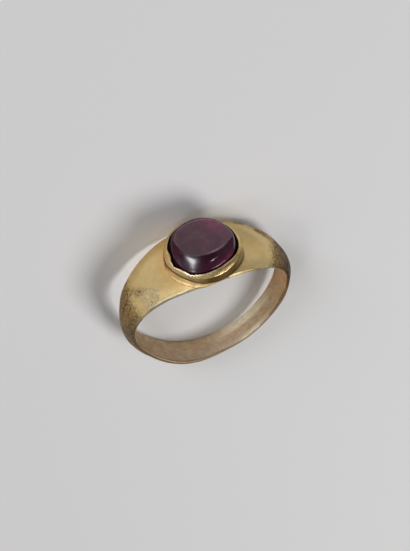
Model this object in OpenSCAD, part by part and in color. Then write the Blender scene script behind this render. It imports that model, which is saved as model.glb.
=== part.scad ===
// Hand-made gold ring: a thin hoop that flares into a plate, a soldered collar and a cabochon.
// The ring lies on its side, with the collar towards -Y and the finger hole upright.

/* [Size] */
// Mean inner diameter of the hoop, which scales the whole ring
finger_d = 17.2; // [15.5:0.1:20.5]

/* [Hoop] */
// Thickness of the strip along its thin edges
edge_t = 0.40; // [0.35:0.05:0.5]
// Thickness of the strip along the middle of its sides
crown_t = 1.05; // [0.8:0.05:1.2]
// Thickness in the middle of the plate under the stone
plate_t = 0.80; // [0.65:0.05:0.9]
// Rounding of the strip's four long corners
corner_r = 0.10; // [0.05:0.01:0.12]

/* [Collar] */
// Height of the rim above the middle of the plate
rim_h = 1.10; // [1.0:0.05:1.3]
// How far the burnished lip hangs over the inside of the wall
lip_over = 0.12; // [0.08:0.01:0.16]
// Least thickness of the collar's wall
wall_t = 0.15; // [0.12:0.01:0.2]

/* [Stone] */
// Height of the cabochon above the rim
dome_h = 1.20; // [0.9:0.05:1.5]
// Clearance between the stone's flat base and the plate
base_gap = 0.08; // [0.05:0.01:0.12]

/* [Finish] */
// Sections round the hoop
hoop_steps = 120; // [72:12:144]
// Steps round the collar and the stone
bezel_steps = 72; // [48:12:96]

/* [Hidden] */

GOLD = [0.80, 0.66, 0.40];
GARNET = [0.28, 0.10, 0.16];

// Sections of the hoop, in mm. The angle runs from the right shoulder, over the plate at 90 degrees,
// to the left shoulder at 180 and the back of the hoop at 270. Columns: angle, inner radius,
// half width to the front, half width to the back.
ANGLE = 0;
RADIUS = 1;
FRONT = 2;
BACK = 3;
SECTIONS = [
    [  0, 8.85, 1.75, 1.50],
    [ 15, 9.10, 2.05, 1.75],
    [ 30, 8.95, 2.50, 2.50],
    [ 50, 8.35, 3.20, 3.50],
    [ 70, 8.02, 3.70, 3.95],
    [ 90, 7.90, 3.85, 4.10],
    [110, 8.02, 3.70, 3.85],
    [130, 8.38, 3.10, 3.30],
    [147, 8.70, 2.60, 2.75],
    [160, 9.05, 2.40, 2.05],
    [172, 8.95, 2.00, 1.40],
    [188, 8.75, 1.40, 1.40],
    [215, 8.60, 1.35, 1.55],
    [250, 9.00, 1.50, 1.50],
    [285, 8.65, 1.45, 1.15],
    [320, 8.40, 1.50, 1.25]
];

// Places across the domed outer face, as parts of the half width
DOME = [0.93, 0.80, 0.60, 0.35];
// Power of the dome round the hoop, and on the flatter plate
HOOP_DOME = 2.2;
PLATE_DOME = 4.0;

// Outline of the collar seen from above the stone, in mm. The angle runs from the right towards
// the front. Columns: angle, outer radius of the wall, how far the lip's corner stands out from it
// and comes down over it, width and height of the solder foot.
WALL = 1;
OUT = 2;
OVERLAP = 3;
FOOT = 4;
FOOT_H = 5;
COLLAR = [
    [  0, 4.16,  0.00, 0.40, 0.10, 0.14],
    [ 12, 4.30, -0.02, 0.40, 0.08, 0.12],
    [ 30, 4.40, -0.08, 0.40, 0.06, 0.10],
    [ 48, 4.26,  0.00, 0.46, 0.06, 0.10],
    [ 65, 4.14,  0.06, 0.50, 0.08, 0.10],
    [ 90, 4.10,  0.10, 0.50, 0.12, 0.14],
    [105, 4.12,  0.10, 0.50, 0.26, 0.26],
    [122, 4.14,  0.10, 0.48, 0.36, 0.45],
    [140, 4.08,  0.10, 0.48, 0.40, 0.60],
    [158, 4.06,  0.10, 0.48, 0.42, 0.66],
    [170, 4.08,  0.08, 0.48, 0.25, 0.50],
    [182, 4.10,  0.06, 0.45, 0.10, 0.22],
    [212, 4.04,  0.00, 0.42, 0.08, 0.12],
    [232, 3.90,  0.00, 0.38, 0.06, 0.10],
    [252, 3.80,  0.00, 0.35, 0.05, 0.08],
    [280, 3.62,  0.00, 0.35, 0.05, 0.08],
    [310, 3.78,  0.00, 0.35, 0.08, 0.10],
    [335, 3.90,  0.00, 0.38, 0.10, 0.14]
];
// Middle of the collar, to the right and to the front of the plate's middle
COLLAR_MID = [0.25, -0.10];

// The lip's uneven inner edge, pushed over the stone. Columns: angle, radius, rise of the rim.
LIP = 1;
RISE = 2;
LIP_EDGE = [
    [  6, 3.90,  0.00],
    [ 22, 4.03,  0.02],
    [ 38, 3.98,  0.00],
    [ 50, 3.78, -0.03],
    [ 62, 3.67,  0.02],
    [ 77, 3.58, -0.02],
    [ 91, 3.61,  0.03],
    [105, 3.75,  0.02],
    [117, 3.83,  0.04],
    [125, 3.97,  0.00],
    [133, 3.87,  0.05],
    [142, 3.75,  0.02],
    [152, 3.78, -0.04],
    [159, 3.90, -0.08],
    [165, 3.80,  0.00],
    [172, 3.70,  0.04],
    [179, 3.49,  0.05],
    [188, 3.54,  0.00],
    [198, 3.68, -0.04],
    [214, 3.74,  0.00],
    [235, 3.66,  0.00],
    [256, 3.56, -0.06],
    [285, 3.32, -0.15],
    [306, 3.48, -0.10],
    [320, 3.62, -0.06],
    [333, 3.68, -0.02],
    [350, 3.80,  0.02]
];

// The solder foot from the plate up to the wall, as parts of its width and height
ACROSS = 0;
UP = 1;
FOOT_SIDE = [
    [1.00, 0.00],
    [0.98, 0.14],
    [0.88, 0.22],
    [0.50, 0.40],
    [0.12, 0.82],
    [0.00, 1.00]
];
// Least width of the foot
FOOT_MIN = 0.04;

// The lip from its outer corner over the rim to its inner edge. Columns: place as a part of the way
// out to the corner, and drop below the rim as a part of the lip's overlap.
PLACE = 0;
DROP = 1;
LIP_TOP = [
    [1.00, 0.90],
    [0.93, 0.66],
    [0.72, 0.32],
    [0.50, 0.10],
    [0.18, 0.00],
    [0.00, 0.14],
    [0.04, 0.40]
];

// The stone's hidden part from the base up. Columns: height as a part of the stone's depth below
// the rim, and radius as a part of the girdle's.
HEIGHT = 0;
REACH = 1;
STONE_BASE = [
    [-1.00, 0.86],
    [-0.88, 0.95],
    [-0.60, 1.01],
    [-0.30, 1.01],
    [-0.08, 1.00]
];

// Its bevel. Columns: height as a part of dome_h, and place between the girdle and the table's
// edge where the bevel is flat and where it is full.
FLAT = 1;
ROUND = 2;
STONE_BEVEL = [
    [0.10, 0.00, 0.00],
    [0.30, 0.13, 0.05],
    [0.50, 0.33, 0.14],
    [0.70, 0.55, 0.31],
    [0.86, 0.76, 0.58],
    [0.93, 0.90, 0.82],
    [0.965, 1.00, 1.00]
];

// Its table. Columns: height as a part of dome_h, and radius as a part of the table edge's.
STONE_TABLE = [
    [0.985, 0.75],
    [0.996, 0.40]
];

// The stone's outlines round the collar's middle. Columns: angle, girdle at the rim, edge of the
// table, and how full the bevel is.
GIRDLE = 1;
TABLE = 2;
FULL = 3;
STONE_OUTLINE = [
    [  5, 3.60, 3.44, 1.0],
    [ 15, 3.72, 3.33, 0.8],
    [ 31, 3.76, 2.84, 0.5],
    [ 44, 3.66, 2.62, 0.3],
    [ 55, 3.56, 2.50, 0.2],
    [ 77, 3.46, 2.20, 0.0],
    [ 98, 3.53, 2.20, 0.0],
    [112, 3.68, 2.21, 0.0],
    [126, 3.78, 2.26, 0.0],
    [140, 3.60, 2.38, 0.0],
    [155, 3.45, 2.44, 0.0],
    [168, 3.32, 2.50, 0.2],
    [184, 3.20, 2.74, 0.8],
    [200, 3.18, 2.90, 1.0],
    [219, 3.20, 2.88, 1.0],
    [246, 3.10, 2.69, 0.8],
    [273, 3.10, 2.68, 0.8],
    [300, 3.14, 2.64, 0.8],
    [337, 3.34, 3.00, 0.8],
    [350, 3.45, 3.25, 1.0]
];

// Mean inner diameter of the tables' own ring, and the scale to the wanted one
TABLE_D = 17.2;
ring_scale = finger_d / TABLE_D;

// How the ring leans when it lies on the plate's back edge and the back of the hoop
rest_tilt = 9.1;
rest_roll = 1.3;

// How far the collar's wall is let into the plate, and how far its buried edge is drawn in
wall_sink = 0.20;
toe_in = 0.03;

// A smooth closed curve through one column of a table, at any angle
function turn(table, i) = let (n = len(table)) table[(i + n) % n][ANGLE] + 360 * floor(i / n);
function entry(table, col, i) = let (n = len(table)) table[(i + n) % n][col];
function slope(table, col, i) =
    let (
        before = turn(table, i) - turn(table, i - 1),
        after = turn(table, i + 1) - turn(table, i),
        rise_in = (entry(table, col, i) - entry(table, col, i - 1)) / before,
        rise_out = (entry(table, col, i + 1) - entry(table, col, i)) / after
    )
    (rise_in * after + rise_out * before) / (before + after);
function smooth(table, col, angle) =
    let (
        a = angle - 360 * floor(angle / 360),
        i = max([for (k = [-1 : len(table) - 1]) if (k < 0 || table[k][ANGLE] <= a) k]),
        span = turn(table, i + 1) - turn(table, i),
        s = (a - turn(table, i)) / span
    )
    (2 * s ^ 3 - 3 * s ^ 2 + 1) * entry(table, col, i)
    + (s ^ 3 - 2 * s ^ 2 + s) * span * slope(table, col, i)
    + (3 * s ^ 2 - 2 * s ^ 3) * entry(table, col, i + 1)
    + (s ^ 3 - s ^ 2) * span * slope(table, col, i + 1);

// The strip is thick at the sides, thinner under the stone and at the back
function middle_t(angle) = crown_t - (crown_t - plate_t) * sin(angle) ^ 2;
function dome_power(angle) = HOOP_DOME + (PLATE_DOME - HOOP_DOME) * max(sin(angle), 0) ^ 2;
function dome(angle, part) =
    edge_t + (middle_t(angle) - edge_t) * (1 - part ^ dome_power(angle));
function inner_r(angle) = smooth(SECTIONS, RADIUS, angle);
function half_width(angle, side) = smooth(SECTIONS, side > 0 ? FRONT : BACK, angle);

// One section as [across, out from the inner face], from the inner front corner round to the back
function edge_points(angle, side) =
    let (w = half_width(angle, side))
    [
        [side * (w - corner_r), 0],
        [side * w, corner_r],
        [side * w, edge_t - corner_r],
        [side * (w - corner_r), edge_t]
    ];
function dome_points(angle, side) =
    [for (part = DOME) [side * part * half_width(angle, side), dome(angle, part)]];
function backwards(points) = [for (i = [len(points) - 1 : -1 : 0]) points[i]];
function section(angle) =
    concat(
        edge_points(angle, 1),
        dome_points(angle, 1),
        [[0, middle_t(angle)]],
        backwards(dome_points(angle, -1)),
        backwards(edge_points(angle, -1))
    );
function on_hoop(angle, p) =
    let (r = inner_r(angle) + p[1]) [r * cos(angle), r * sin(angle), p[0]];

// Equal steps once round, in degrees
function round_steps(steps) = [for (i = [0 : steps - 1]) 360 * i / steps];

// Faces of a grid of rings, closed both ways
function grid_faces(rings, size) =
    [
        for (i = [0 : rings - 1], j = [0 : size - 1])
            let (k = (i + 1) % rings, l = (j + 1) % size)
            [i * size + j, k * size + j, k * size + l, i * size + l]
    ];
function flat(rings) = [for (ring = rings, p = ring) p];

HOOP_RINGS = [for (a = round_steps(hoop_steps)) [for (p = section(a)) on_hoop(a, p)]];

module hoop() {
    polyhedron(flat(HOOP_RINGS), grid_faces(hoop_steps, len(HOOP_RINGS[0])), convexity = 6);
}

// Height of the plate's outer skin at a place across and along the finger
function skin_r(angle, along) =
    let (part = abs(along) / half_width(angle, along)) inner_r(angle) + dome(angle, min(part, 1));
function skin_angle(across, along, angle = 90, tries = 4) =
    tries == 0 ? angle
    : skin_angle(across, along, acos(across / skin_r(angle, along)), tries - 1);
function skin_level(across, along) =
    let (a = skin_angle(across, along)) skin_r(a, along) * sin(a);

plate_top = inner_r(90) + plate_t;
rim_level = plate_top + rim_h;

// A point of the collar or stone, at an angle and radius round its middle and a level
function on_collar(angle, r, level) =
    [COLLAR_MID[0] + r * cos(angle), level, COLLAR_MID[1] + r * sin(angle)];

// One section of the collar, from the foot in the plate up the outside, over the lip and down
function collar_section(angle) =
    let (
        wall = smooth(COLLAR, WALL, angle),
        corner = wall + smooth(COLLAR, OUT, angle),
        overlap = smooth(COLLAR, OVERLAP, angle),
        foot = max(smooth(COLLAR, FOOT, angle), FOOT_MIN),
        foot_h = smooth(COLLAR, FOOT_H, angle),
        lip = smooth(LIP_EDGE, LIP, angle),
        rim = rim_level + smooth(LIP_EDGE, RISE, angle),
        toe = wall + foot,
        inside = min(lip + lip_over, wall - wall_t),
        skin = skin_level(COLLAR_MID[0] + toe * cos(angle), COLLAR_MID[1] + toe * sin(angle))
    )
    concat(
        [on_collar(angle, toe - toe_in, skin - wall_sink)],
        [for (p = FOOT_SIDE) on_collar(angle, wall + foot * p[ACROSS], skin + foot_h * p[UP])],
        [on_collar(angle, wall, rim - overlap)],
        [for (p = LIP_TOP)
            on_collar(angle, lip + (corner - lip) * p[PLACE], rim - overlap * p[DROP])],
        [on_collar(angle, inside, rim - overlap)],
        [on_collar(angle, inside, skin - wall_sink)]
    );

COLLAR_RINGS = [for (a = round_steps(bezel_steps)) collar_section(a)];

module collar() {
    polyhedron(flat(COLLAR_RINGS), grid_faces(bezel_steps, len(COLLAR_RINGS[0])), convexity = 6);
}

// Edges of the stone, and radius of one row of its bevel
function girdle(angle) = smooth(STONE_OUTLINE, GIRDLE, angle);
function table_edge(angle) = smooth(STONE_OUTLINE, TABLE, angle);
function bevel_r(angle, row) =
    let (part = row[FLAT] + (row[ROUND] - row[FLAT]) * smooth(STONE_OUTLINE, FULL, angle))
    girdle(angle) + (table_edge(angle) - girdle(angle)) * part;
// Level at a part of the stone's height above the rim, or of its depth below it
function stone_level(h) = rim_level + (h < 0 ? h * (rim_h - base_gap) : h * dome_h);

STONE_ANGLES = [for (a = round_steps(bezel_steps)) -a];
STONE_RINGS = concat(
    [for (row = STONE_BASE)
        [for (a = STONE_ANGLES) on_collar(a, girdle(a) * row[REACH], stone_level(row[HEIGHT]))]],
    [for (row = STONE_BEVEL)
        [for (a = STONE_ANGLES) on_collar(a, bevel_r(a, row), stone_level(row[HEIGHT]))]],
    [for (row = STONE_TABLE)
        [for (a = STONE_ANGLES)
            on_collar(a, table_edge(a) * row[REACH], stone_level(row[HEIGHT]))]]
);

module cabochon() {
    n = bezel_steps;
    rows = len(STONE_RINGS);
    base = on_collar(0, 0, stone_level(-1));
    top = on_collar(0, 0, stone_level(1));
    sides = [for (j = [0 : rows - 2], i = [0 : n - 1]) let (k = (i + 1) % n)
        [j * n + i, (j + 1) * n + i, (j + 1) * n + k, j * n + k]];
    base_fan = [for (i = [0 : n - 1]) [rows * n, i, (i + 1) % n]];
    top_fan = [for (i = [0 : n - 1]) let (last = (rows - 1) * n)
        [rows * n + 1, last + (i + 1) % n, last + i]];
    polyhedron(concat(flat(STONE_RINGS), [base, top]), concat(sides, base_fan, top_fan));
}

// A point of the leaning ring, and the middle of the ring's footprint at floor level
function tilted(p) =
    [
        p[0],
        p[1] * cos(rest_tilt) - p[2] * sin(rest_tilt),
        p[1] * sin(rest_tilt) + p[2] * cos(rest_tilt)
    ];
function leaning(p) =
    let (q = tilted(p), s = sin(rest_roll), c = cos(rest_roll))
    [-q[0] * c - q[2] * s, -q[1], q[2] * c - q[0] * s];
LEANING = [for (p = flat(concat(HOOP_RINGS, COLLAR_RINGS, STONE_RINGS))) leaning(p)];
function lowest(axis) = min([for (p = LEANING) p[axis]]);
function highest(axis) = max([for (p = LEANING) p[axis]]);
FLOOR_MID = [(lowest(0) + highest(0)) / 2, (lowest(1) + highest(1)) / 2, lowest(2)];

// Laid on its side, with the collar towards -Y and the floor at zero
module at_rest() {
    scale(ring_scale) translate(-FLOOR_MID) rotate([rest_tilt, rest_roll, 180]) children();
}

module band() {
    color(GOLD) at_rest() union() {
        hoop();
        collar();
    }
}

module stone() {
    color(GARNET) at_rest() cabochon();
}

band();
stone();
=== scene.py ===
# Looks of a hand-made gold ring with a dark red-purple cabochon, lying on its side.
import math

import bpy
import numpy as np
from mathutils import Matrix, Vector, noise


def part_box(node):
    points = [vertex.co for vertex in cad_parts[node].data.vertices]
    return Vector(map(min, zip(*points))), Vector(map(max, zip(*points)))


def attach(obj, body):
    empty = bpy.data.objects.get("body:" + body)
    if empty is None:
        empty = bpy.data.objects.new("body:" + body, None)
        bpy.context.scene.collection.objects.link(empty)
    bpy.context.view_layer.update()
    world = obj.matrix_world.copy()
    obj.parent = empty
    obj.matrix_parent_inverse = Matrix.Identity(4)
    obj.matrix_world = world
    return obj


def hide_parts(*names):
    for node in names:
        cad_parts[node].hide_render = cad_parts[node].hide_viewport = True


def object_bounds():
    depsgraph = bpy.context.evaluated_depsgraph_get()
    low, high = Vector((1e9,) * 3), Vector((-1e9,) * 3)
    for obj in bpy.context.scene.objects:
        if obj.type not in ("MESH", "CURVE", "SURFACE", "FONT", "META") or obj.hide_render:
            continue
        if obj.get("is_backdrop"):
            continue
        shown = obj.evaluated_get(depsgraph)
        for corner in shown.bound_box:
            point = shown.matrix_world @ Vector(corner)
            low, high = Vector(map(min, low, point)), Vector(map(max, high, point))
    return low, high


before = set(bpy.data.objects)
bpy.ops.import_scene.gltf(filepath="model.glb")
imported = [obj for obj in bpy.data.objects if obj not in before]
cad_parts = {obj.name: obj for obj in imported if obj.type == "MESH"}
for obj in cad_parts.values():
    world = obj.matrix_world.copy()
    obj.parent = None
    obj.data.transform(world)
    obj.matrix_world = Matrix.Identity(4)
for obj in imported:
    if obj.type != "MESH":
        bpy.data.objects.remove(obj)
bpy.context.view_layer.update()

MM = 0.001

# Sizes below are in mm. The ring is worked out upright in its own axes: X to the right shoulder,
# Y up from the finger hole to the stone, Z along the finger to the front. Then it is laid down.
REST_TILT = 9.1
REST_ROLL = 1.3

EDGE_T = 0.40
CROWN_T = 1.05
PLATE_T = 0.80
CORNER_R = 0.10
HOOP_DOME = 2.2
PLATE_DOME = 6.5

# Sections of the hoop: angle from the right shoulder over the plate, inner radius, half width to
# the front, half width to the back.
RADIUS, FRONT, BACK = range(1, 4)
SECTIONS = [
    (0, 8.85, 1.75, 1.50),
    (15, 9.10, 2.05, 1.75),
    (30, 8.95, 2.50, 2.50),
    (50, 8.35, 3.20, 3.50),
    (70, 8.02, 3.70, 3.95),
    (90, 7.90, 3.85, 4.10),
    (110, 8.02, 3.70, 3.85),
    (130, 8.38, 3.10, 3.30),
    (147, 8.70, 2.60, 2.75),
    (160, 9.05, 2.40, 2.05),
    (172, 8.95, 2.00, 1.40),
    (188, 8.75, 1.40, 1.40),
    (215, 8.60, 1.35, 1.55),
    (250, 9.00, 1.50, 1.50),
    (285, 8.65, 1.45, 1.15),
    (320, 8.40, 1.50, 1.25),
]

# Outline of the collar: angle from the right towards the front, outer radius of the wall, how far
# the lip's corner stands out from it and comes down over it, and the width and height of the
# solder foot.
WALL, OUT, DROP, FOOT, FOOT_H = range(1, 6)
COLLAR = [
    (0, 4.16, 0.00, 0.40, 0.10, 0.14),
    (12, 4.30, -0.02, 0.40, 0.08, 0.12),
    (30, 4.40, -0.08, 0.40, 0.06, 0.10),
    (48, 4.26, 0.00, 0.46, 0.06, 0.10),
    (65, 4.14, 0.06, 0.50, 0.08, 0.10),
    (90, 4.10, 0.10, 0.50, 0.12, 0.14),
    (105, 4.12, 0.10, 0.50, 0.26, 0.26),
    (122, 4.14, 0.10, 0.48, 0.36, 0.45),
    (140, 4.08, 0.10, 0.48, 0.40, 0.60),
    (158, 4.06, 0.10, 0.48, 0.42, 0.66),
    (170, 4.08, 0.08, 0.48, 0.25, 0.50),
    (182, 4.10, 0.06, 0.45, 0.10, 0.22),
    (212, 4.04, 0.00, 0.42, 0.08, 0.12),
    (232, 3.90, 0.00, 0.38, 0.06, 0.10),
    (252, 3.80, 0.00, 0.35, 0.05, 0.08),
    (280, 3.62, 0.00, 0.35, 0.05, 0.08),
    (310, 3.78, 0.00, 0.35, 0.08, 0.10),
    (335, 3.90, 0.00, 0.38, 0.10, 0.14),
]
COLLAR_MID = (0.25, -0.10)

# The lip's uneven inner edge, where it was pushed over the stone: angle, radius, height of the rim.
EDGE, RISE = 1, 2
LIP_EDGE = [
    (6, 3.90, 0.00),
    (22, 4.03, 0.02),
    (38, 3.98, 0.00),
    (50, 3.78, -0.03),
    (62, 3.67, 0.02),
    (77, 3.58, -0.02),
    (91, 3.61, 0.03),
    (105, 3.75, 0.02),
    (117, 3.83, 0.04),
    (125, 3.97, 0.00),
    (133, 3.87, 0.05),
    (142, 3.75, 0.02),
    (152, 3.78, -0.04),
    (159, 3.90, -0.08),
    (165, 3.80, 0.00),
    (172, 3.70, 0.04),
    (179, 3.49, 0.05),
    (188, 3.54, 0.00),
    (198, 3.61, -0.03),
    (214, 3.62, 0.03),
    (235, 3.55, 0.03),
    (256, 3.46, -0.04),
    (285, 3.32, -0.15),
    (306, 3.48, -0.10),
    (320, 3.62, -0.06),
    (333, 3.68, -0.02),
    (350, 3.80, 0.02),
]
RIM_H = 1.10
LIP_OVER = 0.12
WALL_T = 0.15
WALL_SINK = 0.20
TOE_IN = 0.03
FOOT_LEAST = 0.04
LIP_UNDER = 0.02

# Profile of the solder foot, as parts of its width and height, and of the lip from its outer
# corner to its inner edge, as parts of the way out to that corner and of its drop.
FOOT_SIDE = [(1.0, 0.0), (0.98, 0.14), (0.88, 0.22), (0.5, 0.40), (0.12, 0.82), (0.0, 1.0)]
LIP_TOP = [
    (1.00, 0.90),
    (0.93, 0.72),
    (0.72, 0.36),
    (0.50, 0.10),
    (0.18, 0.00),
    (0.00, 0.14),
    (0.04, 0.40),
]

# The stone. Its hidden part: height as a part of its depth below the rim, and radius as a part of
# the girdle's. Its bevel: height as a part of the dome's, and place from the girdle to the table's
# edge. Its table: height as a part of the dome's, and radius as a part of the table's.
DOME_H = 1.22
BASE_GAP = 0.08
STONE_BASE = [(-1.00, 0.86), (-0.88, 0.95), (-0.60, 1.01), (-0.30, 1.01), (-0.08, 1.00)]
FLAT_BEVEL = [0.0, 0.13, 0.33, 0.55, 0.76, 0.90, 1.0]
FULL_BEVEL = [0.0, 0.04, 0.10, 0.22, 0.45, 0.72, 1.0]
BEVEL_LEVELS = [0.10, 0.30, 0.50, 0.70, 0.86, 0.935, 0.965]
STONE_TABLE = [(0.985, 0.75), (0.994, 0.50), (0.998, 0.25), (1.0, 0.0)]
TABLE_CROWN = 0.002

# Two outlines of the stone round the collar's middle, and how full its bevel is: angle, girdle at
# the rim, edge of the table, part of the full profile.
GIRDLE, TABLE, FULL = 1, 2, 3
STONE_OUTLINE = [
    (4, 3.60, 3.20, 1.0),
    (16, 3.72, 3.36, 0.9),
    (32, 3.76, 2.84, 0.7),
    (45, 3.66, 2.60, 0.6),
    (58, 3.54, 2.38, 0.5),
    (77, 3.46, 2.18, 0.3),
    (98, 3.53, 2.14, 0.2),
    (112, 3.68, 2.14, 0.15),
    (126, 3.76, 2.22, 0.15),
    (140, 3.62, 2.33, 0.15),
    (155, 3.50, 2.40, 0.2),
    (168, 3.42, 2.46, 0.4),
    (184, 3.32, 2.60, 0.7),
    (200, 3.30, 2.80, 1.0),
    (219, 3.26, 2.78, 1.0),
    (246, 3.14, 2.58, 1.0),
    (273, 3.12, 2.54, 1.0),
    (300, 3.16, 2.62, 1.0),
    (325, 3.28, 2.86, 1.0),
    (345, 3.42, 2.96, 1.0),
]

# Patches of wear and dirt, and of painted shade, painted highlights and painted glow: middle and
# reach in degrees, and strength. A strength above 1 makes the middle of a patch even. These lie
# round the hoop's outside, and the next three round the hoop's lining, the collar and the stone.
HOOP_PATCHES = {
    "back_edge": (45, 22, 0.7),
    "crest": (38, 13, 0.8),
    "sheen": (46, 18, 1.0),
    "front_edge": (42, 38, 1.5),
    "under_right": (48, 40, 0.8),
    "under_left": (130, 46, 0.8),
    "worn_glint_edge": (126, 44, 1.0),
    "right_end": (10, 29, 1.6),
    "left_end": (178, 26, 0.5),
    "back": (268, 80, 1.0),
    "shaded_left": (120, 42, 1.0),
    "shaded_right": (50, 20, 1.0),
}
LINING_PATCHES = {
    "back_painted_streak": (304, 42, 1.0),
    "front_painted_streak": (304, 26, 1.0),
    "grey": (262, 60, 1.0),
    "warm": (5, 50, 1.0),
    "brown": (190, 60, 1.0),
}
COLLAR_PATCHES = {
    # Painted shade on the collar's wall under the lip, at the front and on the right
    "shade_front": (82, 48, 1.4),
    "shade_right": (38, 42, 0.7),
    "groove": (165, 85, 1.6),
    "lip_stain": (70, 58, 0.8),
    # Painted highlight along the lip's inner edge, at the front left
    "lip_highlight": (128, 50, 1.0),
    "warm": (190, 75, 1.0),
}
STONE_PATCHES = {
    "clear_table": (205, 75, 0.35),
    "back_edge": (280, 150, 0.8),
    "front_edge": (66, 40, 1.1),
    "dark_left": (178, 60, 1.0),
    "dark_front": (88, 34, 0.7),
    "dark_foot": (68, 30, 1.0),
    "dull": (128, 40, 1.6),
    "low_glow": (66, 45, 0.3),
    "left_glow": (165, 32, 0.12),
    "right_glow": (44, 42, 0.10),
}

# Lines that slant over the hoop's outside. The fold on the left shoulder and the crest of the right
# one: place along the finger at an angle, that angle, and its change for each degree. The sides of
# the pitted patch: angle at a place along the finger, that place, and its change for each mm.
FOLD_LINE = (-0.63, 143.5, 0.055)
CREST_LINE = (-1.5, 41, -0.13)
PITS_TOP = (138.9, 0, -7.4)
PITS_LOW = (144.2, 0, -1.9)
PITS_RIGHT = (120.44, 0, 4.1)

# The stone's painted inner glow: angle and radius of its middle, and how much it is stretched
# sideways
GLOW_ANGLE = 318
GLOW_R = 2.8
GLOW_STRETCH = 0.6

# Waves of the hand-worked gold, of its hammered lip and of the lip's torn edge: depth, size and
# seed. The edge is torn most at one place round the collar, middle and reach, and a part of that
# all round.
WAVES = [(0.030, 2.6, 3.1), (0.012, 0.9, 7.7)]
HAMMERED = (0.014, 0.7, 5.2)
TORN = (0.05, 0.42, 2.2)
TORN_PLACE = (178, 60)
TORN_LEAST = 0.25

FLOOR_HALF = 400 * MM

# Camera, in mm from the ring: where it looks, from where, and how it is rolled
CAMERA_AIM = Vector((-0.142, -3.940, 4.0))
CAMERA_AWAY = 350.43
CAMERA_AZIMUTH = 11.373
CAMERA_ELEVATION = 43.218
CAMERA_ROLL = 153.303
CAMERA_LENS = 210.59
CAMERA_SENSOR = 36

# Disk lights: azimuth, elevation, width in mm, watts, colour
LIGHT_AIM = Vector((0, -3, 4))
LIGHT_AWAY = 400
WHITE = (1, 1, 1)
LIGHTS = [
    ("key", 32, 23, 185, 0.68, (0.95, 0.94, 1.0)),
    ("small", -26, 54, 16, 0.05, WHITE),
    ("edge", 72, 47, 100, 0.12, WHITE),
    ("back_right", -132, 50, 200, 1.0, WHITE),
    ("left", 90, 40, 300, 0.12, WHITE),
]
WORLD_COLOUR = (0.93, 0.96, 1.0, 1)
WORLD_STRENGTH = 0.12

# How finely the meshes are divided: round the hoop, the collar and the stone, then along half a
# section's inner face, each of its two corner turns and its crown, then along the collar's line and
# the stone's. Last, how often the place of the skin is worked out again.
HOOP_STEPS = 480
COLLAR_STEPS = 360
STONE_STEPS = 240
FACE_POINTS = 12
CORNER_POINTS = 5
CROWN_POINTS = 24
COLLAR_LINE_STEPS = 4
STONE_LINE_STEPS = 5
SKIN_ROUNDS = 5


def smooth(table, column, angles):
    """A smooth closed curve through one column of a table whose first column is an angle."""
    rows = np.array(table, float)
    knots = np.concatenate([rows[:, 0] + turn for turn in (-360, 0, 360)])
    values = np.tile(rows[:, column], 3)
    gaps = np.diff(knots)
    rises = np.diff(values) / gaps
    slopes = np.zeros(len(values))
    slopes[1:-1] = (rises[:-1] * gaps[1:] + rises[1:] * gaps[:-1]) / (gaps[:-1] + gaps[1:])
    a = np.mod(np.asarray(angles, float), 360)
    i = np.searchsorted(knots, a, side="right") - 1
    s = (a - knots[i]) / gaps[i]
    return (
        (2 * s**3 - 3 * s**2 + 1) * values[i]
        + (s**3 - 2 * s**2 + s) * gaps[i] * slopes[i]
        + (3 * s**2 - 2 * s**3) * values[i + 1]
        + (s**3 - s**2) * gaps[i] * slopes[i + 1]
    )


def ramp(value, low, high):
    """0 below low, 1 above high and smooth between them; low may be the larger."""
    s = np.clip((value - low) / (high - low), 0, 1)
    return s * s * (3 - 2 * s)


def near(angle, middle, reach):
    """1 at an angle, falling to 0 at some reach from it."""
    away = np.abs((angle - middle + 180) % 360 - 180)
    return ramp(away, reach, 0)


def around(steps):
    return np.arange(steps) * 360 / steps


def through(points, steps):
    """A rounded open line through points, with some steps between each two."""
    p = np.array(points, float)
    p = np.vstack([2 * p[0] - p[1], p, 2 * p[-1] - p[-2]])
    out = []
    for a, b, c, d in zip(p, p[1:], p[2:], p[3:]):
        for s in np.arange(steps) / steps:
            out.append(
                b
                + (c - a) * s / 2
                + (2 * a - 5 * b + 4 * c - d) * s**2 / 2
                + (3 * b - a - 3 * c + d) * s**3 / 2
            )
    return np.array(out + [p[-2]])


def middle_t(angles):
    return CROWN_T - (CROWN_T - PLATE_T) * np.sin(np.radians(angles)) ** 2


def dome(angles, part):
    on_plate = ramp(np.sin(np.radians(angles)), 0.2, 0.9)
    power = HOOP_DOME + (PLATE_DOME - HOOP_DOME) * on_plate
    return EDGE_T + (middle_t(angles) - EDGE_T) * (1 - np.abs(part) ** power)


def half_width(angles, side):
    return smooth(SECTIONS, FRONT if side > 0 else BACK, angles)


def half_section(angles, side):
    """Half of every section, from the middle of the inner face round one edge to the crown."""
    w = half_width(angles, side)
    flat = w - CORNER_R
    across = []
    out = []
    for part in np.linspace(0, 1, FACE_POINTS)[:-1]:
        across.append(flat * part)
        out.append(0 * w)
    for turn in np.radians(np.linspace(-90, 0, CORNER_POINTS)):
        across.append(flat + CORNER_R * math.cos(turn))
        out.append(0 * w + CORNER_R * (1 + math.sin(turn)))
    for turn in np.radians(np.linspace(0, 90, CORNER_POINTS)):
        across.append(flat + CORNER_R * math.cos(turn))
        out.append(dome(angles, across[-1] / w) - CORNER_R * (1 - math.sin(turn)))
    for part in np.linspace(1, 0, CROWN_POINTS)[1:]:
        across.append(flat * part)
        out.append(dome(angles, flat * part / w))
    return side * np.array(across).T, np.array(out).T


def hoop_rings():
    a = around(HOOP_STEPS)
    front, front_out = half_section(a, 1)
    back, back_out = half_section(a, -1)
    across = np.hstack([front, back[:, -2:0:-1]])
    out = np.hstack([front_out, back_out[:, -2:0:-1]])
    r = smooth(SECTIONS, RADIUS, a)[:, None] + out
    turn = np.radians(a)[:, None]
    return np.stack([r * np.cos(turn), r * np.sin(turn), across], -1)


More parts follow.
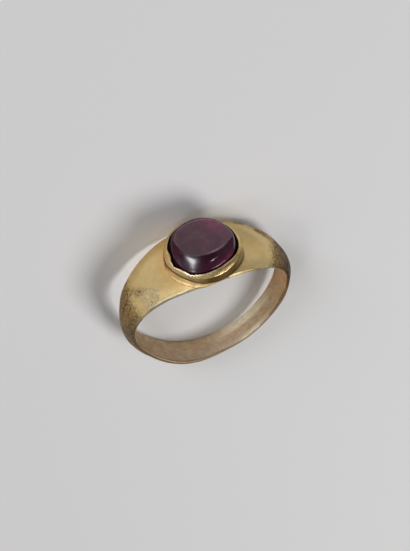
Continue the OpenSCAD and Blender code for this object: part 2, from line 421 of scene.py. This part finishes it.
def skin_level(x, z):
    """Height of the plate's outer skin at a place across and along the finger."""
    angle = np.full(np.shape(x), 90.0)
    for _ in range(SKIN_ROUNDS):
        reach = np.where(z > 0, half_width(angle, 1), half_width(angle, -1))
        part = np.minimum(np.abs(z) / reach, 1)
        r = smooth(SECTIONS, RADIUS, angle) + dome(angle, part)
        angle = np.degrees(np.arccos(x / r))
    return r * np.sin(np.radians(angle))


# Height of the collar's rim over the middle of the hoop
RIM_LEVEL = float(smooth(SECTIONS, RADIUS, 90)) + PLATE_T + RIM_H


def on_collar(angles, r, level):
    turn = np.radians(angles)
    return np.stack(
        [COLLAR_MID[0] + r * np.cos(turn), level + 0 * r, COLLAR_MID[1] + r * np.sin(turn)], -1
    )


def lip_radius(angles):
    """The lip's inner edge, with small notches where it is torn on the left."""
    even = smooth(LIP_EDGE, EDGE, angles)
    torn = TORN_LEAST + (1 - TORN_LEAST) * near(angles, *TORN_PLACE)
    depth, size, seed = TORN
    return even + depth * torn * wave(on_collar(angles, even, 0), size, seed)


def collar_rings():
    a = around(COLLAR_STEPS)
    wall = smooth(COLLAR, WALL, a)
    drop = smooth(COLLAR, DROP, a)
    foot = np.maximum(smooth(COLLAR, FOOT, a), FOOT_LEAST)
    foot_h = smooth(COLLAR, FOOT_H, a)
    lip = lip_radius(a)
    rim = RIM_LEVEL + smooth(LIP_EDGE, RISE, a)
    edge = on_collar(a, wall + foot, 0)
    skin = skin_level(edge[:, 0], edge[:, 2])
    corner = wall + smooth(COLLAR, OUT, a)
    line = [on_collar(a, wall + foot * p, skin + foot_h * q) for p, q in FOOT_SIDE]
    line += [on_collar(a, wall, rim - drop), on_collar(a, corner - LIP_UNDER, rim - drop)]
    line += [on_collar(a, lip + (corner - lip) * p, rim - drop * q) for p, q in LIP_TOP]
    inside = np.minimum(lip + LIP_OVER, wall - WALL_T)
    line += [on_collar(a, inside, rim - drop)]
    lines = np.array(line).transpose(1, 0, 2)
    outside = np.array([through(points, COLLAR_LINE_STEPS) for points in lines])
    toe_ring = on_collar(a, wall + foot - TOE_IN, skin - WALL_SINK)[:, None]
    inner_ring = on_collar(a, inside, skin - WALL_SINK)[:, None]
    return np.concatenate([toe_ring, outside, inner_ring], 1)


def stone_rings():
    a = -around(STONE_STEPS)
    girdle = smooth(STONE_OUTLINE, GIRDLE, a)
    table = smooth(STONE_OUTLINE, TABLE, a)
    full = smooth(STONE_OUTLINE, FULL, a)
    lines = [(h, girdle * reach) for h, reach in STONE_BASE]
    for h, flat_part, full_part in zip(BEVEL_LEVELS, FLAT_BEVEL, FULL_BEVEL):
        part = flat_part + (full_part - flat_part) * full
        lines.append((h, girdle + (table - girdle) * part))
    lines += [(h, table * reach) for h, reach in STONE_TABLE]
    sections = np.array([[np.full(len(a), h), r] for h, r in lines]).transpose(2, 0, 1)
    rounded = np.array([through(section, STONE_LINE_STEPS)[:-1] for section in sections])
    rings = []
    for ring in rounded.transpose(1, 0, 2):
        depth = np.where(ring[:, 0] > 0, DOME_H, RIM_H - BASE_GAP)
        rings.append(on_collar(a, ring[:, 1], RIM_LEVEL + ring[:, 0] * depth))
    return np.array(rings)


def lay_down(points):
    """From the ring's own axes, upright, to how it lies, before it is set on the floor."""
    tilt = Matrix.Rotation(math.radians(REST_TILT), 3, "X")
    roll = Matrix.Rotation(math.radians(REST_ROLL), 3, "Y")
    half_turn = Matrix.Rotation(math.pi, 3, "Z")
    return points @ np.array(half_turn @ roll @ tilt).T


def closed_grid(rings):
    n, m = rings.shape[:2]
    faces = []
    for i in range(n):
        for j in range(m):
            after_i = (i + 1) % n
            after_j = (j + 1) % m
            faces.append((i * m + j, after_i * m + j, after_i * m + after_j, i * m + after_j))
    return rings.reshape(-1, 3), faces


def mesh_object(name, points, faces):
    mesh = bpy.data.meshes.new(name)
    mesh.from_pydata([tuple(p) for p in points], [], faces)
    mesh.validate()
    mesh.update()
    obj = bpy.data.objects.new(name, mesh)
    bpy.context.scene.collection.objects.link(obj)
    return obj


def joined(a, b):
    """Union of two closed meshes, left in the first object."""
    union = a.modifiers.new("union", "BOOLEAN")
    union.operation = "UNION"
    union.solver = "EXACT"
    union.object = b
    depsgraph = bpy.context.evaluated_depsgraph_get()
    mesh = bpy.data.meshes.new_from_object(a.evaluated_get(depsgraph))
    a.modifiers.clear()
    old = a.data
    a.data = mesh
    bpy.data.meshes.remove(old)
    bpy.data.objects.remove(b)
    return a


def vertices(obj):
    co = np.zeros(len(obj.data.vertices) * 3)
    obj.data.vertices.foreach_get("co", co)
    return co.reshape(-1, 3)


def set_vertices(obj, co):
    obj.data.vertices.foreach_set("co", co.reshape(-1))
    obj.data.update()


def wave(points, size, seed):
    """Smooth noise of about -1 to 1 with bumps of some size, in mm."""
    return np.array([noise.noise(Vector(p) / size + Vector((seed, 0, 0))) for p in points]) * 1.6


def polar(co):
    """Hoop angle and radius, and collar angle and radius, of points in the ring's own axes."""
    angle = np.degrees(np.arctan2(co[:, 1], co[:, 0])) % 360
    x = co[:, 0] - COLLAR_MID[0]
    z = co[:, 2] - COLLAR_MID[1]
    return angle, np.hypot(co[:, 0], co[:, 1]), np.degrees(np.arctan2(z, x)) % 360, np.hypot(x, z)


def add_masks(obj, masks):
    for name, values in masks.items():
        layer = obj.data.attributes.new(name, "FLOAT", "POINT")
        layer.data.foreach_set("value", np.clip(values, 0, 1).astype(np.float32))


def patches(angles, table):
    """How strong each patch of a table is at some angles."""
    return {
        name: strength * near(angles, middle, reach)
        for name, (middle, reach, strength) in table.items()
    }


class BandPlaces:
    """Where the band's points lie, and on which part of it, before its skin is made uneven."""

    def __init__(self, co):
        self.co = co
        self.across = co[:, 2]
        self.angle, r, self.bezel_angle, bezel_r = polar(co)
        self.thickness = r - smooth(SECTIONS, RADIUS, self.angle)
        self.front_gap = half_width(self.angle, 1) - self.across
        self.back_gap = half_width(self.angle, -1) + self.across
        self.past_lip = bezel_r - lip_radius(self.bezel_angle)
        self.past_wall = bezel_r - smooth(COLLAR, WALL, self.bezel_angle)
        self.drop = smooth(COLLAR, DROP, self.bezel_angle)
        self.below_rim = RIM_LEVEL + smooth(LIP_EDGE, RISE, self.bezel_angle) - co[:, 1]

        self.inner = ramp(self.thickness, 0.15, 0.02)
        self.on_top = (co[:, 1] > 0) & (np.abs(co[:, 0]) < 5) & (self.inner < 0.5)
        self.cup = self.on_top * ramp(self.past_lip, 0.16, 0.05) * ramp(self.below_rim, 0.08, 0.25)
        collar = self.on_top * ramp(self.past_wall, 0.6, 0.35)
        self.on_lip = collar * ramp(self.below_rim, self.drop * 1.1, self.drop * 0.9)
        self.outside = (1 - self.inner) * (1 - collar)


def unevenness(at):
    """How far the gold's skin stands out from its even shape."""
    waves = sum(depth * wave(at.co, size, seed) for depth, size, seed in WAVES)
    depth, size, seed = HAMMERED
    return waves * (1 - 0.6 * at.cup) + depth * at.on_lip * wave(at.co, size, seed)


def collar_masks(at):
    """The collar's painted shade on its wall, groove and seam; the lip's stains and painted
    highlight.
    """
    patch = patches(at.bezel_angle, COLLAR_PATCHES)
    foot = smooth(COLLAR, FOOT, at.bezel_angle)
    foot_h = smooth(COLLAR, FOOT_H, at.bezel_angle)
    above_skin = at.co[:, 1] - skin_level(np.clip(at.co[:, 0], -6, 6), at.across)
    side = at.on_top * (1 - at.cup) * ramp(at.below_rim, at.drop - 0.06, at.drop + 0.02)
    wall = side * ramp(at.past_wall, 0.10, 0.04)
    groove = wall * np.minimum(patch["groove"], 1) * ramp(np.abs(above_skin - foot_h), 0.20, 0.07)
    seam = 0.6 * side * ramp(foot, 0.2, 0.12)
    seam *= ramp(np.abs(above_skin), 0.08, 0.02) * ramp(np.abs(at.past_wall - foot), 0.14, 0.05)
    return {
        # painted shade on the collar's wall under the lip
        "wall_painted_shade": wall * np.minimum(patch["shade_front"] + patch["shade_right"], 1),
        "shade": np.maximum(groove, seam),
        "burnished": at.on_lip,
        "lip_stain": at.on_lip * patch["lip_stain"] * ramp(at.past_lip, 0.08, 0.30),
        # painted highlight along the lip's inner edge
        "lip_highlight": at.on_lip * patch["lip_highlight"] * ramp(np.abs(at.past_lip - 0.10), 0.13, 0.05),
        "warm": at.on_top * patch["warm"] * ramp(at.past_wall, 1.6, 0.2),
    }


def slanted(line, places):
    value, middle, change = line
    return value + change * (places - middle)


def tarnish_and_shade(at, patch, fold, crest):
    """Tarnished brown and painted shade: behind the fold, on both turns, along the back edge, over
    the crest.
    """
    from_right = (at.angle + 180) % 360 - 180
    lean = np.where(at.across > 0, 2.2, 3.6)
    before_back = ramp(at.angle, 240, 200)
    places = [
        0.7 * ramp(fold, 0.1, -0.3) * ramp(at.angle, 138, 152) * before_back,
        ramp(at.angle, 141, 160) * before_back,
        ramp(from_right - lean * at.across, 44, 22) * ramp(from_right, -40, -5),
        patch["back_edge"] * ramp(at.across, -2.3, -3.3),
        patch["crest"] * ramp(crest, 0.1, -0.3),
    ]
    return at.outside * np.maximum.reduce(places)


def pitted_patch(at):
    """The pitted patch on the left shoulder, between three slanted lines and the front edge."""
    past_top, past_low, past_right = (
        at.angle - slanted(line, at.across) for line in (PITS_TOP, PITS_LOW, PITS_RIGHT)
    )
    patch = ramp(past_top, -2, 4) * ramp(past_low, 5, -3) * ramp(past_right, -6, 5)
    return at.outside * patch * ramp(at.across, -1.0, 0.0) * ramp(at.front_gap, 0.10, 0.35)


def dark_lines(at, patch, fold):
    """Dark line along the fold; painted shade on the right shoulder's front edge and under both
    front edges.
    """
    on_fold = ramp(np.abs(fold), 0.16, 0.05) * ramp(at.angle, 141, 146) * ramp(at.angle, 166, 158)
    on_edge = np.minimum(patch["front_edge"], 1) * ramp(at.front_gap, 0.15, 0.05)
    under_edge = np.maximum(patch["under_left"], patch["under_right"])
    under_edge *= ramp(at.front_gap, 0.10, 0.04) * ramp(at.thickness, 0.30, 0.18)
    return np.maximum(at.outside * np.maximum(on_fold, on_edge), under_edge)


def hoop_masks(at):
    """Wear, dirt, painted shade and painted highlights on the hoop's outside and its shoulders."""
    patch = patches(at.angle, HOOP_PATCHES)
    fold = at.across - slanted(FOLD_LINE, at.angle)
    crest = at.across - slanted(CREST_LINE, at.angle)
    side_gap = np.minimum(at.front_gap, at.back_gap)
    pits = pitted_patch(at)
    # painted shade: darker on the left shoulder's front and on the right shoulder's back
    shaded_left = patch["shaded_left"] * ramp(at.across, -2.8, 2.2)
    shaded_right = patch["shaded_right"] * ramp(at.across, 0.6, -1.4)
    # the front-left edge: rubbed, and painted lighter as a glint
    worn_glint_edge = patch["worn_glint_edge"] * ramp(at.angle, 98, 110) * ramp(at.thickness, 0.26, 0.34)
    return {
        # tarnish, with painted shade behind the fold, on the turns and past the crest
        "brown": tarnish_and_shade(at, patch, fold, crest),
        # painted shade on the hoop's front side face, from the left end round the back
        "rim": ramp(at.angle, 178, 200) * ramp(at.angle, 357, 346) * ramp(at.front_gap, 0.16, 0.04),
        "hoop_back": at.outside * patch["back"] * (0.45 + 0.55 * ramp(side_gap, 0.9, 0.1)),
        # tarnish, with painted shade, at both ends of the hoop where it turns away
        "turn_tarnish_and_shade": at.outside * np.maximum(patch["right_end"], patch["left_end"]),
        # painted highlight: a pale line just inside the right shoulder's crest
        "sheen": at.outside * patch["sheen"] * ramp(np.abs(crest - 0.5), 0.8, 0.2),
        # a dark line along the fold, and painted shade along the front edges
        "fold": dark_lines(at, patch, fold),
        "pits": pits,
        "dark_pits": pits * ramp(at.across, 1.2, 0.1),
        "worn_glint": worn_glint_edge * ramp(at.front_gap, 0.17, 0.08),
        "painted_shading": at.outside * np.maximum(shaded_left, shaded_right),
    }


def lining_masks(at):
    """Painted highlight streaks and stains on the hoop's inner face."""
    patch = patches(at.angle, LINING_PATCHES)
    # painted highlight streaks along the lining
    back_painted_streak = patch["back_painted_streak"] * ramp(np.abs(at.across + 0.70), 0.85, 0.25)
    front_painted_streak = patch["front_painted_streak"] * ramp(at.across, 0.8, 1.3)
    return {
        "painted_streak": at.inner * np.maximum(back_painted_streak, front_painted_streak),
        "inner_grey": at.inner * patch["grey"] * ramp(at.across, -0.6, 1.0),
        "inner_warm": at.inner * patch["warm"],
        "inner_brown": at.inner * patch["brown"],
    }


def make_band():
    band = joined(
        mesh_object("gold_band", *closed_grid(hoop_rings())),
        mesh_object("collar", *closed_grid(collar_rings())),
    )
    at = BandPlaces(vertices(band))
    normals = np.zeros(len(at.co) * 3)
    band.data.vertices.foreach_get("normal", normals)
    set_vertices(band, at.co + normals.reshape(-1, 3) * unevenness(at)[:, None])
    add_masks(band, {"inner": at.inner, "cup": at.cup})
    add_masks(band, collar_masks(at) | hoop_masks(at) | lining_masks(at))
    return band


def stone_masks(points):
    """The stone's table with its painted reflection and edge highlight, its darker and duller
    sides, its painted glow.
    """
    _, _, turn, reach = polar(points)
    patch = patches(turn, STONE_PATCHES)
    level = (points[:, 1] - RIM_LEVEL) / DOME_H
    inside = smooth(STONE_OUTLINE, TABLE, turn) - reach
    on_top = ramp(level, 0.5, 0.8)
    table = on_top * ramp(inside, -0.12, 0.06)
    edge = on_top * ramp(np.abs(inside), 0.16, 0.02)
    dark = [patch["dark_left"], patch["dark_front"], patch["dark_foot"] * ramp(level, 0.65, 0.40)]
    from_glow = np.radians(turn - GLOW_ANGLE)
    glow_r = np.hypot(reach * np.cos(from_glow) - GLOW_R, GLOW_STRETCH * reach * np.sin(from_glow))
    table_glow = 0.15 * ramp(glow_r, 4.5, 0.5) + 0.5 * ramp(glow_r, 1.5, 0.2)
    side_glow = patch["left_glow"] + patch["right_glow"]
    low_glow = patch["low_glow"] * ramp(level, 0.7, 0.2)
    return {
        # the table's lighter colour is a painted reflection; less of it towards the left
        "table": table * (1 - patch["clear_table"] * ramp(reach, 1.0, 2.4)),
        # painted highlight along the table's edge, at the back and at the front
        "edge": edge * (patch["back_edge"] + patch["front_edge"]),
        "dark_side": (1 - table) * np.maximum.reduce(dark),
        "dull": (1 - table) * np.minimum(patch["dull"], 1) * ramp(turn, 100, 126),
        # painted glow in the table, on the sides and low at the front
        "glow": table * table_glow + (1 - table) * side_glow + low_glow,
    }


def make_stone():
    rings = stone_rings()
    n, m = rings.shape[:2]
    base = rings[0].mean(0)
    top = rings[-1].mean(0) + [0, TABLE_CROWN, 0]
    points = np.vstack([rings.reshape(-1, 3), base, top])
    faces = []
    for i in range(n - 1):
        for j in range(m):
            k = (j + 1) % m
            faces.append((i * m + j, i * m + k, (i + 1) * m + k, (i + 1) * m + j))
    for j in range(m):
        k = (j + 1) % m
        faces.append((k, j, n * m))
        faces.append(((n - 1) * m + j, (n - 1) * m + k, n * m + 1))
    stone = mesh_object("cabochon", points, faces)
    add_masks(stone, stone_masks(points))
    return stone


def make_smooth(obj, sharp_angle):
    for face in obj.data.polygons:
        face.use_smooth = True
    obj.data.set_sharp_from_angle(angle=math.radians(sharp_angle))


class Shader:
    """A material's node tree, with short calls for the nodes used here."""

    def __init__(self, name):
        self.material = bpy.data.materials.new(name)
        self.material.use_nodes = True
        self.tree = self.material.node_tree
        self.tree.nodes.clear()
        self.surface = self.tree.nodes.new("ShaderNodeBsdfPrincipled")
        output = self.tree.nodes.new("ShaderNodeOutputMaterial")
        self.tree.links.new(self.surface.outputs[0], output.inputs["Surface"])

    def feed(self, socket, value):
        """Link a socket to another, or set it to a number, a colour or a vector."""
        if isinstance(value, bpy.types.NodeSocket):
            self.tree.links.new(value, socket)
        else:
            socket.default_value = value

    def add(self, kind, inputs, **settings):
        node = self.tree.nodes.new(kind)
        for key, value in settings.items():
            setattr(node, key, value)
        for key, value in inputs.items():
            self.feed(node.inputs[key], value)
        return node

    def set(self, **inputs):
        for key, value in inputs.items():
            self.feed(self.surface.inputs[key.replace("_", " ")], value)

    def mask(self, name):
        return self.add("ShaderNodeAttribute", {}, attribute_name=name).outputs["Fac"]

    def noise(self, per_mm, detail, stretch=(1, 1, 1), rough=0.5):
        """Noise with some bumps for each mm, squeezed along each axis by stretch."""
        where = self.add("ShaderNodeTexCoord", {}).outputs["Object"]
        scale = [part / MM for part in stretch]
        place = self.add("ShaderNodeMapping", {"Vector": where, "Scale": scale}).outputs[0]
        inputs = {"Vector": place, "Scale": per_mm, "Detail": detail, "Roughness": rough}
        return self.add("ShaderNodeTexNoise", inputs).outputs["Fac"]

    def spread(self, value, low, high, to=(0.0, 1.0)):
        """A value that goes smoothly from to[0] at low to to[1] at high."""
        inputs = {"Value": value, "From Min": low, "From Max": high}
        inputs |= {"To Min": to[0], "To Max": to[1]}
        return self.add("ShaderNodeMapRange", inputs, interpolation_type="SMOOTHSTEP").outputs[0]

    def texture(self, per_mm, detail, low, high, to=(0.0, 1.0), stretch=(1, 1, 1), rough=0.5):
        """Noise, spread as above."""
        return self.spread(self.noise(per_mm, detail, stretch, rough), low, high, to)

    def math(self, operation, a, b):
        return self.add("ShaderNodeMath", {0: a, 1: b}, operation=operation).outputs[0]

    def times(self, a, b):
        return self.math("MULTIPLY", a, b)

    def total(self, *values):
        out = values[0]
        for value in values[1:]:
            out = self.math("ADD", out, value)
        return out

    def mix(self, factor, a, b):
        return self.add("ShaderNodeMix", {0: factor, 6: a, 7: b}, data_type="RGBA").outputs[2]

    def layers(self, colour, rows):
        """Lay colours over a colour; each row is a colour, a mask or its name, and a strength."""
        for layer, mask, strength in rows:
            where = self.mask(mask) if isinstance(mask, str) else mask
            colour = self.mix(self.times(where, strength), colour, layer)
        return colour

    def relief(self, rows):
        """Bumps over bumps; each row is a height, its distance in mm and its strength."""
        normal = None
        for height, distance, strength in rows:
            inputs = {"Height": height, "Distance": distance * MM, "Strength": strength}
            if normal is not None:
                inputs["Normal"] = normal
            normal = self.add("ShaderNodeBump", inputs).outputs[0]
        return normal


PALE_GOLD = (0.90, 0.70, 0.35, 1)
DEEP_GOLD = (0.84, 0.61, 0.27, 1)
OLIVE_GOLD = (0.66, 0.52, 0.24, 1)
ORANGE_GOLD = (0.82, 0.53, 0.21, 1)
# Pale colour for painted highlights on the hoop, the lip's inner edge and the rubbed front edge
HIGHLIGHT_GOLD = (1.0, 0.88, 0.62, 1)
GREY_GOLD = (0.86, 0.70, 0.38, 1)
# The lining's gold is darker than the outside's: painted shade inside the hoop
INNER_SHADED_GOLD = (0.68, 0.54, 0.34, 1)
INNER_PALE = (0.82, 0.72, 0.52, 1)
INNER_PINK = (0.68, 0.47, 0.33, 1)
INNER_ORANGE = (0.86, 0.53, 0.25, 1)
INNER_BROWN = (0.38, 0.23, 0.105, 1)
INNER_GREY = (0.60, 0.51, 0.41, 1)
# Colour of painted glints on the pitted patch
GLINT_SPECK = (0.98, 0.89, 0.60, 1)
# Colour of the painted highlight streaks on the lining
STREAK_HIGHLIGHT = (1.0, 0.93, 0.70, 1)
# Colour of the painted shade on the hoop's front side face
RIM_SHADE = (0.24, 0.165, 0.10, 1)
BROWN = (0.185, 0.090, 0.020, 1)
# Colour of the painted shade on the collar's wall under the lip
WALL_SHADE_BROWN = (0.090, 0.043, 0.009, 1)
# Dark colour for painted shade in the collar's groove and seam and along the hoop's edges, and for
# tarnish
DARK_TARNISH_AND_SHADE = (0.055, 0.030, 0.013, 1)
# Dark colour for the cup inside the lip, round the stone
CUP_DARK = (0.042, 0.024, 0.018, 1)


def lining_colour(s, mottle):
    """Colour of the hoop's inner face, darker than the outside's as painted shade, with stains."""
    clouds = s.texture(0.8, 5, 0.42, 0.66, stretch=(1, 1, 2))
    pale = s.texture(1.0, 5, 0.50, 0.66, stretch=(1, 1, 2.5), rough=0.65)
    spots = s.texture(3.0, 4, 0.52, 0.68, stretch=(1, 1, 2))
    return s.layers(
        s.mix(clouds, INNER_SHADED_GOLD, INNER_PINK),
        [
            (INNER_ORANGE, "inner_warm", 0.8),
            (INNER_BROWN, "inner_brown", 0.9),
            (INNER_PALE, pale, 0.5),
            (INNER_GREY, "inner_grey", 0.6),
            (INNER_BROWN, mottle, 0.26),
            (INNER_BROWN, spots, 0.30),
        ],
    )


def gold():
    s = Shader("worn_gold")
    clouds = s.texture(0.35, 3, 0.35, 0.7)
    mottle = s.texture(1.3, 5, 0.38, 0.68, rough=0.6)
    strokes = s.texture(1.4, 4, 0.36, 0.66, stretch=(1, 1, 5))
    speckle = s.texture(5.0, 5, 0.38, 0.64, rough=0.75)

    blots = s.texture(1.1, 6, 0.30, 0.65, rough=0.65)
    tarnished_and_shaded = s.total(s.times(s.mask("brown"), 1.5), s.times(blots, 0.35), s.times(speckle, 0.35))
    broken = s.texture(1.6, 6, 0.3, 0.7, to=(0.0, 1.6), rough=0.75)
    pitted = s.spread(s.times(s.mask("pits"), broken), 0.1, 0.9)
    specks = s.texture(6.0, 2, 0.46, 0.56, rough=0.8)
    pits = s.times(specks, pitted)
    # painted glints on the pitted patch, made less metallic
    sparkle = s.times(s.texture(7.5, 2, 0.50, 0.57, rough=0.8), pitted)
    # painted highlight streaks on the lining, rougher and less metallic
    painted_streak = s.times(s.mask("painted_streak"), s.spread(strokes, 0.1, 0.8, to=(0.65, 1.0)))
    cup = s.mask("cup")

    colour = s.layers(
        s.mix(clouds, PALE_GOLD, DEEP_GOLD),
        [
            (OLIVE_GOLD, mottle, 0.22),
            (OLIVE_GOLD, strokes, 0.14),
            # painted shade, darker and a little rougher
            (OLIVE_GOLD, "painted_shading", 0.75),
            (ORANGE_GOLD, "warm", 0.7),
            # painted highlight along the right shoulder's crest
            (HIGHLIGHT_GOLD, "sheen", s.spread(clouds, 0.0, 1.0, to=(0.3, 0.7))),
            (lining_colour(s, mottle), "inner", 1.0),
            # tarnish, with painted shade where the hoop turns away
            (BROWN, s.spread(tarnished_and_shaded, 0.7, 1.5), s.spread(speckle, 0.0, 1.0, to=(0.55, 1.0))),
            # painted shade on the hoop's front side face
            (RIM_SHADE, "rim", 0.85),
            (BROWN, "hoop_back", s.texture(0.8, 6, 0.44, 0.64, (0.0, 0.6), (1, 1, 1.6), 0.7)),
            # tarnish and painted shade at both ends of the hoop
            (DARK_TARNISH_AND_SHADE, "turn_tarnish_and_shade", s.texture(1.6, 5, 0.35, 0.6, (0.7, 1.0), (1, 1, 0.6))),
            (GREY_GOLD, pitted, 0.35),
            (BROWN, pits, 0.65),
            # painted glints on the pitted patch
            (GLINT_SPECK, sparkle, 0.8),
            (BROWN, "dark_pits", s.spread(specks, 0.0, 1.0, to=(0.3, 0.95))),
            # dark line along the fold, and painted shade along the front edges
            (DARK_TARNISH_AND_SHADE, "fold", s.spread(speckle, 0.0, 1.0, to=(0.5, 0.9))),
            (BROWN, "lip_stain", s.texture(2.6, 4, 0.42, 0.6, to=(0.45, 0.95))),
            # painted highlight along the lip's inner edge
            (HIGHLIGHT_GOLD, "lip_highlight", 1.0),
            # painted highlight streaks on the lining
            (STREAK_HIGHLIGHT, painted_streak, 1.0),
            # painted shade on the collar's wall under the lip
            (WALL_SHADE_BROWN, "wall_painted_shade", 0.95),
            # painted shade in the groove over the foot and along the seam
            (DARK_TARNISH_AND_SHADE, "shade", 1.0),
            # painted glint on the rubbed front-left edge
            (HIGHLIGHT_GOLD, "worn_glint", 1.0),
            # the cup inside the lip, round the stone, is made dark and not metallic
            (CUP_DARK, cup, 1.0),
        ],
    )
    s.set(
        Base_Color=colour,
        Metallic=s.math(
            "SUBTRACT",
            s.spread(cup, 0.2, 0.8, to=(1.0, 0.0)),
            s.math("MAXIMUM", s.times(sparkle, 0.7), s.times(painted_streak, 0.5)),
        ),
        Roughness=s.total(
            s.spread(mottle, 0.0, 1.0, to=(0.50, 0.58)),
            s.times(s.mask("burnished"), -0.18),
            s.times(painted_streak, 0.20),
            s.times(s.mask("painted_shading"), 0.08),
            s.times(s.mask("lip_highlight"), -0.16),
            s.times(s.mask("worn_glint"), -0.28),
        ),
        Normal=s.relief(
            [
                (s.noise(4.0, 4, rough=0.6), 0.03, 0.45),
                (s.texture(6.5, 3, 0.36, 0.64, rough=0.7), 0.008, 0.7),
                (s.texture(2.6, 4, 0.40, 0.60, stretch=(0.5, 0.5, 4), rough=0.7), 0.008, 0.8),
                (pits, -0.03, 1.0),
            ]
        ),
    )
    return s.material


GEM_DEEP = (0.022, 0.003, 0.010, 1)
GEM_RED = (0.036, 0.005, 0.014, 1)
# Lighter colours of the table: painted reflection
GEM_TABLE_SHEEN = (0.092, 0.025, 0.045, 1)
GEM_SHEEN_GREY = (0.062, 0.024, 0.034, 1)
# Colour of the stone's painted glow
GEM_PAINTED_GLOW = (0.30, 0.05, 0.13, 1)
# Light colour for dust and for painted highlights on the table and its edge
GEM_DUST_AND_HIGHLIGHT = (0.27, 0.15, 0.20, 1)


def gem():
    s = Shader("garnet")
    table = s.mask("table")
    dull = s.mask("dull")
    clouds = s.texture(0.4, 3, 0.4, 0.65)
    sheen_haze = s.texture(0.9, 5, 0.42, 0.66, rough=0.65)
    dust = s.texture(4.5, 2, 0.74, 0.78)
    colour = s.layers(
        s.mix(clouds, GEM_DEEP, GEM_RED),
        [
            # painted reflection on the table
            (s.mix(clouds, GEM_SHEEN_GREY, GEM_TABLE_SHEEN), table, 1.0),
            # painted glow in the stone
            (GEM_PAINTED_GLOW, "glow", s.texture(1.2, 4, 0.3, 0.7, to=(0.5, 1.0))),
            # more painted reflection, in clouds, on the table
            (GEM_DUST_AND_HIGHLIGHT, s.times(table, sheen_haze), 0.11),
            (GEM_DUST_AND_HIGHLIGHT, dust, 0.6),
            # painted highlight along the table's edge
            (GEM_DUST_AND_HIGHLIGHT, "edge", s.texture(2.5, 3, 0.35, 0.6, to=(0.4, 1.0))),
        ],
    )
    s.set(
        Base_Color=colour,
        Roughness=s.total(0.13, s.times(table, 0.09), s.times(dull, 0.16)),
        IOR=1.75,
        Specular_IOR_Level=s.total(
            s.spread(table, 0.0, 1.0, to=(0.5, 0.31)),
            s.times(s.mask("dark_side"), -0.44),
            s.times(dull, 0.42),
        ),
        Normal=s.relief([(s.noise(1.0, 2), 0.02, 0.15)]),
    )
    return s.material


FLOOR_PALE = (0.72, 0.71, 0.70, 1)


def floor_finish():
    s = Shader("pale_floor")
    s.set(Base_Color=FLOOR_PALE, Roughness=0.7)
    return s.material


band = make_band()
stone = make_stone()

# The hoop alone reaches the band's box at both sides, at the back and at the floor
low, high = (np.array(corner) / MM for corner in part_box("band"))
own = lay_down(hoop_rings().reshape(-1, 3))
own_low, own_high = own.min(0), own.max(0)
shift = np.array(
    [(low[0] + high[0] - own_low[0] - own_high[0]) / 2, high[1] - own_high[1], low[2] - own_low[2]]
)
for piece, node, finish, slot, sharp_angle in (
    (band, "band", gold(), "gold", 40),
    (stone, "stone", gem(), "gem", 50),
):
    set_vertices(piece, (lay_down(vertices(piece)) + shift) * MM)
    make_smooth(piece, sharp_angle)
    piece.data.materials.clear()
    piece.data.materials.append(finish)
    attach(piece, "root")
    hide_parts(node)

floor = mesh_object(
    "floor",
    [(x * FLOOR_HALF, y * FLOOR_HALF, 0) for x, y in ((-1, -1), (1, -1), (1, 1), (-1, 1))],
    [(0, 1, 2, 3)],
)
floor.data.materials.append(floor_finish())
floor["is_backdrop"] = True


def direction(azimuth, elevation):
    """Unit vector to a place round the ring; azimuth 0 is towards -Y and 90 towards +X."""
    a = math.radians(azimuth)
    e = math.radians(elevation)
    return Vector((math.sin(a) * math.cos(e), -math.cos(a) * math.cos(e), math.sin(e)))


def add_aimed(name, data, azimuth, elevation, away, target, roll=0.0):
    """Add a camera or light that looks at a target, in mm, and is rolled by some degrees."""
    obj = bpy.data.objects.new(name, data)
    bpy.context.scene.collection.objects.link(obj)
    back = direction(azimuth, elevation)
    turn = back.to_track_quat("Z", "Y").to_matrix() @ Matrix.Rotation(math.radians(roll), 3, "Z")
    obj.matrix_world = Matrix.Translation((target + back * away) * MM) @ turn.to_4x4()
    return obj


def add_camera():
    data = bpy.data.cameras.new("camera")
    data.lens = CAMERA_LENS
    data.sensor_fit = "AUTO"
    data.sensor_width = CAMERA_SENSOR
    data.clip_start = 0.01
    bpy.context.scene.camera = add_aimed(
        "camera", data, CAMERA_AZIMUTH, CAMERA_ELEVATION, CAMERA_AWAY, CAMERA_AIM, CAMERA_ROLL
    )


def add_light(name, azimuth, elevation, size, watts, colour):
    data = bpy.data.lights.new(name, "AREA")
    data.shape = "DISK"
    data.size = size * MM
    data.energy = watts
    data.color = colour
    add_aimed(name, data, azimuth, elevation, LIGHT_AWAY, LIGHT_AIM)


add_camera()
for light in LIGHTS:
    add_light(*light)

world = bpy.data.worlds.new("studio")
bpy.context.scene.world = world
world.use_nodes = True
background = world.node_tree.nodes["Background"]
background.inputs["Color"].default_value = WORLD_COLOUR
background.inputs["Strength"].default_value = WORLD_STRENGTH
bpy.context.scene.view_settings.view_transform = "Standard"

low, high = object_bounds()
